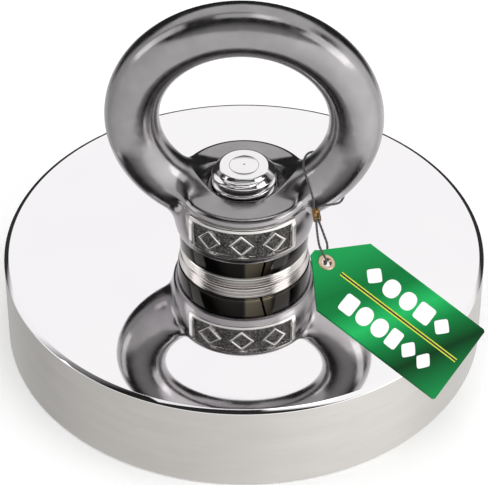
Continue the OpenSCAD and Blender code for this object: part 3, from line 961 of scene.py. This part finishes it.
class MAGNET_OT_stage(bpy.types.Operator):
    """Make the camera, the pale floor, the plain backdrop and the soft studio light."""

    bl_idname = "fishing_magnet.stage"
    bl_label = "Make the stage"

    def execute(self, context):
        settings = context.scene.magnet_stage
        scene = context.scene
        camera = bpy.data.objects.new("Camera", bpy.data.cameras.new("Camera"))
        camera.data.lens, camera.data.sensor_width = settings.lens, 36.0
        camera.data.clip_start, camera.data.clip_end = 0.01, 50.0
        camera.location = (0, -settings.back * MM, settings.up * MM)
        camera.rotation_euler = (math.pi / 2 - settings.pitch, 0, 0)
        scene.collection.objects.link(camera)
        scene.camera = camera
        self.floor(scene, settings)
        self.backdrop(scene)
        self.surroundings(scene)
        self.lights(scene)
        scene.view_settings.view_transform = "Standard"
        return {"FINISHED"}

    def floor(self, scene, settings):
        """A wide disc, just below the pot's foot."""
        sides, reach, sunk = 96, 2.5, 0.00005
        angles = np.linspace(0, 2 * math.pi, sides, endpoint=False)
        points = np.stack([reach * np.cos(angles), reach * np.sin(angles), np.full(sides, -sunk)], -1)
        mesh = bpy.data.meshes.new("floor")
        mesh.from_pydata(points.tolist(), [], [list(range(sides))])
        finish = Finish("floor_paper", tuple(settings.floor), metallic=0.0, roughness=0.9)
        grain = finish.ramp(
            finish.noise(300.0), (0.3, shade(settings.floor, 0.99)), (0.7, tuple(settings.floor))
        )
        finish.join(grain, "Base Color")
        Finish.set(finish.shader, "Emission Color", (1, 1, 1, 1))
        Finish.set(finish.shader, "Emission Strength", 0.18)
        mesh.materials.append(finish.material)
        floor = bpy.data.objects.new("floor", mesh)
        floor.visible_glossy = False
        scene.collection.objects.link(floor)

    def backdrop(self, scene):
        """A pale dome that only the camera sees, so that the background is plain from every side."""
        radius, down = 4.0, np.linspace(0, math.pi, 25)
        outline = np.stack([radius * np.sin(down), radius * np.cos(down)], -1)
        points, quads = turned(outline, 48, closed=False)
        mesh = bpy.data.meshes.new("backdrop")
        mesh.from_pydata(points.tolist(), [], quads.tolist())
        material = bpy.data.materials.new("backdrop_glow")
        material.use_nodes = True
        nodes = material.node_tree.nodes
        nodes.clear()
        glow, output = nodes.new("ShaderNodeEmission"), nodes.new("ShaderNodeOutputMaterial")
        glow.inputs["Color"].default_value = (1, 1, 1, 1)
        material.node_tree.links.new(glow.outputs["Emission"], output.inputs["Surface"])
        mesh.materials.append(material)
        dome = bpy.data.objects.new("backdrop", mesh)
        for ray in ("diffuse", "glossy", "transmission", "shadow", "volume_scatter"):
            setattr(dome, "visible_" + ray, False)
        scene.collection.objects.link(dome)

    def surroundings(self, scene):
        """What polished metal reflects. Above: pale low in front, near black overhead and white behind,
        with a white strip overhead to the right. Below: pale in front, dark behind in the middle and pale
        behind to the sides, with a dark band behind near the level. The two meet at a soft horizon, and the
        lower half is paler to the right."""
        world = bpy.data.worlds.new("studio")
        world.use_nodes = True
        scene.world = world
        nodes, links = world.node_tree.nodes, world.node_tree.links
        place, split = nodes.new("ShaderNodeTexCoord"), nodes.new("ShaderNodeSeparateXYZ")
        links.new(place.outputs["Generated"], split.inputs["Vector"])

        def span(value, start, end):
            node = nodes.new("ShaderNodeMapRange")
            node.inputs["From Min"].default_value, node.inputs["From Max"].default_value = start, end
            links.new(value, node.inputs["Value"])
            return node.outputs["Result"]

        def ramp(value, stops):
            node = nodes.new("ShaderNodeValToRGB")
            elements = node.color_ramp.elements
            for number, (at, tone) in enumerate(stops):
                element = elements[number] if number < 2 else elements.new(at)
                element.position, element.color = at, (tone, tone, tone, 1)
            links.new(value, node.inputs["Fac"])
            return node.outputs["Color"]

        def mix(kind, amount, one, two):
            node = nodes.new("ShaderNodeMix")
            node.data_type, node.blend_type = "RGBA", kind
            factor, first, second = node.inputs["Factor"], node.inputs[6], node.inputs[7]
            for socket, value in ((factor, amount), (first, one), (second, two)):
                if not isinstance(value, float):
                    links.new(value, socket)
                elif socket.type == "RGBA":
                    socket.default_value = (value, value, value, 1.0)
                else:
                    socket.default_value = value
            return node.outputs[2]

        front_to_back = span(split.outputs["Y"], -1.0, 1.0)
        above = ramp(front_to_back, UPPER_TONES)
        left_to_right = span(split.outputs["X"], -1.0, 1.0)
        middle, sides = ramp(front_to_back, LOWER_TONES), ramp(front_to_back, FLANK_TONES)
        below = mix("MIX", ramp(left_to_right, FLANKS), middle, sides)
        below = mix("MULTIPLY", 1.0, below, ramp(left_to_right, RIGHT_TONES))
        height = span(split.outputs["Z"], -1.0, 1.0)
        behind = mix("MULTIPLY", 1.0, ramp(front_to_back, BACK), ramp(height, LEVEL))
        below = mix("MIX", behind, below, 0.03)
        horizon = ramp(height, HORIZON_TONES)
        strip = mix("MULTIPLY", 1.0, ramp(left_to_right, STRIP_ACROSS), ramp(front_to_back, STRIP_ALONG))
        strip = mix("MULTIPLY", 1.0, strip, ramp(height, STRIP_UP))
        above = mix("MIX", strip, above, 1.0)
        both = mix("MIX", horizon, below, above)
        links.new(both, nodes["Background"].inputs["Color"])

    def lights(self, scene):
        """Soft boxes: name, place, size across and up in metres, how bright they look, and whether metal
        mirrors them."""
        boxes = (
            ("top_box", (0.0, 0.02, 0.85), 0.6, 0.25, 0.9, True),
            ("left_box", (-0.75, 0.0, 0.45), 0.30, 0.6, 1.2, True),
            ("right_box", (0.72, -0.28, 0.45), 0.40, 0.6, 1.4, True),
            ("fill_box", (0.05, -0.35, 0.85), 0.8, 0.6, 2.6, False),
        )
        for name, place, wide, tall, radiance, mirrored in boxes:
            light = bpy.data.lights.new(name, "AREA")
            light.shape, light.size, light.size_y = "RECTANGLE", wide, tall
            light.energy = radiance * math.pi * wide * tall
            holder = bpy.data.objects.new(name, light)
            holder.location = place
            aim = Vector((0, 0, 0.02)) - Vector(place)
            holder.rotation_euler = aim.to_track_quat("-Z", "Y").to_euler()
            holder.visible_camera = False
            holder.visible_glossy = mirrored
            scene.collection.objects.link(holder)


class MAGNET_OT_string(bpy.types.Operator):
    """Make the string, which runs through the tag and round the eye's bar."""

    bl_idname = "fishing_magnet.string"
    bl_label = "Make the string"

    def execute(self, context):
        tag, shape = context.scene.magnet_tag, EyeShape(context.scene.magnet_eye)
        turn = turn_about("Z", math.degrees(context.scene.magnet_eye.turned))
        path = moved(string_path(shape, tag), turn)
        points, quads = twisted_tube(path, tag.string / 2)
        solid("string", [(points, quads, 0)], "tag", ["tag_string"], sharp=180,
              materials=[spun_thread("string_thread", tuple(tag.thread))])
        return {"FINISHED"}


class MAGNET_OT_pot(bpy.types.Operator):
    """Make the nickel-plated pot."""

    bl_idname = "fishing_magnet.pot"
    bl_label = "Make the pot"

    def execute(self, context):
        s = context.scene.magnet_pot
        cup, roof = s.radius - s.wall, s.height - s.plate
        outline = rounded_outline([
            (s.radius - s.foot, 0, 0.08), (s.radius, s.foot, 0.1), (s.radius, s.height - s.drop, 0.12),
            (s.radius - s.chamfer, s.height, 0.12), (CLEAR_HOLE, s.height, 0.1), (CLEAR_HOLE, roof, 0.1),
            (cup, roof, 0.3), (cup, s.foot, 0.06), (cup + s.foot, 0, 0.06),
        ])
        points, quads = turned(outline, 256)
        piece = solid("pot", [(points, quads, 0)], "pot", ["pot_shell"], sharp=50, materials=[
            mirror_nickel("nickel_mirror", tuple(s.plating)), satin_nickel("nickel_satin", tuple(s.satin))
        ])
        centres = np.zeros(len(piece.data.polygons) * 3)
        piece.data.polygons.foreach_get("center", centres)
        x, y, z = centres.reshape(-1, 3).T / MM
        skin_depth, below_rim = 0.35, 0.04
        wall = (np.hypot(x, y) > s.radius - skin_depth) & (z < s.height - s.drop - below_rim)
        piece.data.polygons.foreach_set("material_index", wall.astype(np.int32))
        return {"FINISHED"}


class MAGNET_OT_filling(bpy.types.Operator):
    """Make the ring magnet, the seat bush and the two rings of resin."""

    bl_idname = "fishing_magnet.filling"
    bl_label = "Make what is set in the pot"

    def execute(self, context):
        s = context.scene.magnet_pot
        roof, cup = s.height - s.plate, s.radius - s.wall
        magnet, bore, bush, low = cup - 1.5, 10.75, 10.0, 0.3
        seat_low, seat_high, seat_r = 0.45, 4.3, 8.05
        ring = rounded_outline([
            (bore, low, 0.3), (magnet, low, 0.35), (magnet, roof, 0.1), (bore, roof, 0.1)
        ])
        solid("magnet", [(*turned(ring), 0)], "pot", ["ring_magnet"],
              materials=[dull_plating("magnet_plating", (0.62, 0.60, 0.58), 0.26)])
        seal = cured_resin("resin_epoxy", tuple(s.resin))
        across = np.linspace(0, 1, 9)
        for name, inner, outer, sunk, node in (
            ("rim_seal", magnet, cup, 0.8, "rim_resin"), ("bush_seal", bush, bore, 0.5, "bush_resin"),
        ):
            level = sunk + 0.14 * np.sin(math.pi * across)
            under = np.stack([inner + (outer - inner) * across, level], -1)
            outline = np.vstack([under, [(outer, roof), (inner, roof)]])
            solid(name, [(*turned(outline), 0)], "pot", [node], materials=[seal])
        seat = rounded_outline([
            (bush, low, 0.15), (bush, roof, 0.1), (CLEAR_HOLE, roof, 0), (CLEAR_HOLE, seat_high, 0.1),
            (seat_r, seat_low, 0), (seat_r, low, 0.08),
        ])
        solid("seat_bush_ring", [(*turned(seat), 0)], "pot", ["seat_bush"],
              materials=[dull_plating("seat_steel", (0.55, 0.54, 0.53), 0.28)])
        return {"FINISHED"}


class MAGNET_OT_bolt(bpy.types.Operator):
    """Make the countersunk bolt with its thread and hexagon socket."""

    bl_idname = "fishing_magnet.bolt"
    bl_label = "Make the bolt"

    def execute(self, context):
        s = context.scene.magnet_bolt
        top = BOLT_HIGH[2] - s.tip_chamfer
        thread = ((top - THREAD_TURNS * s.pitch) * MM, top * MM)
        solid("bolt_turned", [(*bolt_surface(s), 0)], "pot", ["bolt"], sharp=38,
              materials=[mirror_nickel("bolt_plating", tuple(s.metal), thread)])
        return {"FINISHED"}


class MAGNET_OT_washers(bpy.types.Operator):
    """Make the flat washer and the split lock washer."""

    bl_idname = "fishing_magnet.washers"
    bl_label = "Make the washers"

    def execute(self, context):
        s = context.scene.magnet_bolt
        low, high, outer, cut = WASHER_LOW[2], WASHER_HIGH[2], WASHER_HIGH[0], 0.22
        corners = [(outer - cut, low, 0.1), (outer, low + 0.2, 0.1)]
        for groove in (low + 0.48, low + 0.92):
            corners += [
                (outer, groove - 0.06, 0.02), (outer - 0.07, groove, 0.02), (outer, groove + 0.06, 0.02)
            ]
        corners += [
            (outer, high - cut, 0.1), (outer - cut, high, 0.1),
            (CLEAR_HOLE, high, 0.08), (CLEAR_HOLE, low, 0.08),
        ]
        solid("washer", [(*turned(rounded_outline(corners, 3)), 0)], "pot", ["flat_washer"],
              sharp=50, materials=[turned_metal("washer_turned", tuple(s.washer))])
        solid("lock_ring", [(*split_ring(), 0)], "lock", ["lock_washer"], sharp=40,
              materials=[oiled_steel("lock_steel", tuple(s.lock))])
        return {"FINISHED"}


class MAGNET_OT_eye(bpy.types.Operator):
    """Make the cast eye nut with its two marking panels."""

    bl_idname = "fishing_magnet.eye"
    bl_label = "Make the eye nut"

    def execute(self, context):
        s = context.scene.magnet_eye
        shape = EyeShape(s)
        turn = turn_about("Z", math.degrees(s.turned))
        fine, coarse = ((0.165, 0.3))
        wide, deep, boss = s.width / 2 + 0.6, s.boss + 0.6, 9.6
        low, boss_top, high = shape.foot - 0.4, shape.foot + 8.5, EYE_HIGH[2] + 0.8
        left, right = np.arange(-wide, -boss, coarse), np.arange(boss, wide + coarse, coarse)
        x = np.concatenate([left, np.arange(-boss, boss, fine), right])
        y = np.arange(-deep, deep + fine, fine)
        z = np.concatenate([np.arange(low, boss_top, fine), np.arange(boss_top, high, coarse)])
        points, quads = skin(shape.distance, (x, y, z))
        metal = cast_steel("eye_casting", tuple(s.metal))
        buffed = cast_steel("panel_buffed", tuple(s.frame))
        solid("eye", [(moved(points, turn), quads, 0)], "eye", ["eye_nut"], sharp=60,
              materials=[metal])
        for side, name in enumerate(("panel_front", "panel_back")):
            points, quads, rough = marking_panel(shape, side)
            piece = solid(name, [(moved(points, turn), quads, 0)], "eye", ["eye_nut"], sharp=70,
                          materials=[buffed, stippled_floor("field_floor", tuple(s.floor))])
            self.roughen(piece, points, quads, rough, turn)
        return {"FINISHED"}

    @staticmethod
    def roughen(piece, points, quads, rough, turn):
        """Gives the field's faces the rough finish: those whose middles match the plate's rough faces."""

        def code(micrometres):
            rows = np.round(micrometres).astype(np.int64)
            return rows[:, 0] * 10**12 + rows[:, 1] * 10**6 + rows[:, 2]

        centres = np.zeros(len(piece.data.polygons) * 3)
        piece.data.polygons.foreach_get("center", centres)
        wanted = moved(points[quads[rough]].mean(1), turn)
        found = np.isin(code(centres.reshape(-1, 3) * 1e6), code(wanted * 1e3))
        piece.data.polygons.foreach_set("material_index", found.astype(np.int32))


class MAGNET_OT_tag(bpy.types.Operator):
    """Make the card, its print, its eyelet and the ferrule on the string."""

    bl_idname = "fishing_magnet.tag"
    bl_label = "Make the hang tag"

    def execute(self, context):
        s = context.scene.magnet_tag
        turned_by = math.degrees(context.scene.magnet_eye.turned)
        place = card_frame(turned_by)
        back = np.linalg.inv(place)

        def plan(points):
            local = moved(points, back)
            return np.stack([(local[:, 0] - CARD_FRONT) / s.length, local[:, 1] / s.width + 0.5], -1)

        points, quads = card_surface(s)
        print_tones = tuple(s.light), tuple(s.green), tuple(s.dark)
        card = solid("card", [(moved(points, place), quads, 0)], "tag", ["tag_card"], sharp=30,
                     unwrap=plan, materials=[printed_card("card_print", *print_tones)])
        pieces = [card, *self.print_marks(s, place), *self.eyelet(s, place), self.ferrule(turned_by)]
        string = bpy.data.objects["string"]
        for piece in (*pieces, string):
            piece.visible_glossy = False
        shape = EyeShape(context.scene.magnet_eye)
        path = moved(string_path(shape, s), turn_about("Z", turned_by)) * MM
        return {"FINISHED"}

    def print_marks(self, s, place):
        """Two rows of plain marks and a pair of ruled lines."""
        low, high, half_tall = -0.01, 0.014, 1.42
        lozenge, oval, bar = 1.1, 2.2, 8.0
        upper = ((5.5, 1.15, lozenge), (8.1, 1.05, oval), (10.55, 1.0, oval), (13.0, 1.1, bar),
                 (15.6, 1.1, lozenge))
        lower = ((5.3, 0.95, bar), (7.6, 1.0, oval), (9.85, 1.0, oval), (11.95, 0.8, bar),
                 (14.1, 1.0, lozenge), (16.3, 0.95, lozenge))
        marks = [
            stamp(super_ellipse(x, middle, half, half_tall, power), (x, middle), low, high)
            for row, middle in ((upper, 2.75), (lower, -2.95))
            for x, half, power in row
        ]
        half_long, along, apart, line, gap, lower_by = 8.6, 10.8, 0.22, 0.075, 0.145, 0.004
        corners = np.array([(-half_long, -1), (half_long, -1), (half_long, 1), (-half_long, 1)])
        ruled = [
            stamp(corners * (1, line) + (along, y), (along, y), low, high) for y in (-apart, apart)
        ]
        between = [stamp(corners * (1, gap) + (along, 0), (along, 0), low, high - lower_by)]
        made = []
        for name, prints, tone in (
            ("marks", marks, tuple(s.ink)),
            ("ruled_lines", ruled, tuple(s.line)),
            ("line_gap", between, (0.01, 0.012, 0.01)),
        ):
            shells = [(moved(points, place), quads, 0) for points, quads in prints]
            inks = [ink(name + "_ink", tone)]
            made.append(solid(name, shells, "tag", sharp=40, materials=inks))
        return made

    def eyelet(self, s, place):
        """Rolled front flange with its barrel, and the domed ring behind the card."""
        hole, barrel, inside, flange, thick = 0.6, 0.75, 0.77, 1.05, 0.15
        low = -s.thickness - thick
        front = rounded_outline([
            (hole, low, 0.02), (barrel, low, 0.02), (barrel, 0.0, 0), (flange, 0.0, 0.03),
            (flange, thick, 0.1), (hole, thick, 0.1),
        ], 5)
        rear = rounded_outline([
            (inside, low, 0.05), (flange, low, 0.08), (flange, -s.thickness, 0.02),
            (inside, -s.thickness, 0.02),
        ], 4)
        brass = dull_plating("eyelet_brass", tuple(s.brass), 0.2)
        made = []
        rings = (("eyelet", front, "tag_eyelet"), ("eyelet_ring", rear, "eyelet_washer"))
        for name, outline, node in rings:
            points, quads = turned(outline, 64)
            shells = [(moved(points, place), quads, 0)]
            made.append(solid(name, shells, "tag", [node], sharp=45, materials=[brass]))
        return made

    def ferrule(self, turned_by):
        """Crimped tube: two dents face each other halfway along it."""
        axis, start = np.array([0.25, -1.45, -0.45]), (8.85, -4.45, 21.75)
        bore, radius, long, rows, end = 0.38, 0.5, 1.5, 24, 0.06
        deep, dent_length, skin_depth = 0.06, 0.28, 0.05
        place = (
            turn_about("Z", turned_by) @ shift(*start)
            @ turn_about("Z", math.degrees(math.atan2(axis[1], axis[0])))
            @ turn_about("Y", math.degrees(math.acos(axis[2] / np.linalg.norm(axis))))
        )
        outline = rounded_outline([
            (bore, 0, 0.03), (radius, 0, 0.05), (radius, long, 0.05), (bore, long, 0.03)
        ], 4)
        upper = outline[:, 1] > long / 2
        outside = np.stack([np.full(rows, radius), np.linspace(end, long - end, rows)], -1)
        points, quads = turned(np.vstack([outline[~upper], outside, outline[upper]]), 48)
        bearing = np.arctan2(points[:, 1], points[:, 0])
        reach = np.hypot(points[:, 0], points[:, 1])
        along = np.exp(-(((points[:, 2] - long / 2) / dent_length) ** 2))
        dent = deep * np.cos(bearing) ** 4 * along * (reach > radius - skin_depth)
        points[:, :2] *= (1 - dent / np.maximum(reach, 0.1))[:, None]
        return solid("ferrule", [(moved(points, place), quads, 0)], "tag", ["string_ferrule"],
                     sharp=45, materials=[dull_plating("ferrule_brass", (0.50, 0.30, 0.13), 0.24)])


class MAGNET_PT_panel(bpy.types.Panel):
    """Lists the pieces and their settings."""

    bl_label = "Fishing magnet"
    bl_idname = "MAGNET_PT_panel"
    bl_space_type = "VIEW_3D"
    bl_region_type = "UI"
    bl_category = "Magnet"

    def draw(self, context):
        for operator in OPERATORS:
            self.layout.operator(operator.bl_idname)
        for group in GROUPS:
            settings = getattr(context.scene, group)
            box = self.layout.box()
            for key in settings.bl_rna.properties.keys():
                if key not in ("rna_type", "name"):
                    box.prop(settings, key)


GROUPS = {
    "magnet_stage": StageSettings,
    "magnet_pot": PotSettings,
    "magnet_bolt": BoltSettings,
    "magnet_eye": EyeSettings,
    "magnet_tag": TagSettings,
}
OPERATORS = (
    MAGNET_OT_stage, MAGNET_OT_string, MAGNET_OT_tag, MAGNET_OT_pot, MAGNET_OT_filling, MAGNET_OT_bolt,
    MAGNET_OT_washers, MAGNET_OT_eye,
)


def register():
    for cls in (*GROUPS.values(), *OPERATORS, MAGNET_PT_panel):
        bpy.utils.register_class(cls)
    for name, group in GROUPS.items():
        setattr(bpy.types.Scene, name, bpy.props.PointerProperty(type=group))


def unregister():
    for name in GROUPS:
        delattr(bpy.types.Scene, name)
    for cls in reversed((*GROUPS.values(), *OPERATORS, MAGNET_PT_panel)):
        bpy.utils.unregister_class(cls)


def main():
    """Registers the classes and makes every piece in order."""
    register()
    for operator in OPERATORS:
        group, name = operator.bl_idname.split(".")
        getattr(getattr(bpy.ops, group), name)()


if __name__ == "__main__":
    main()
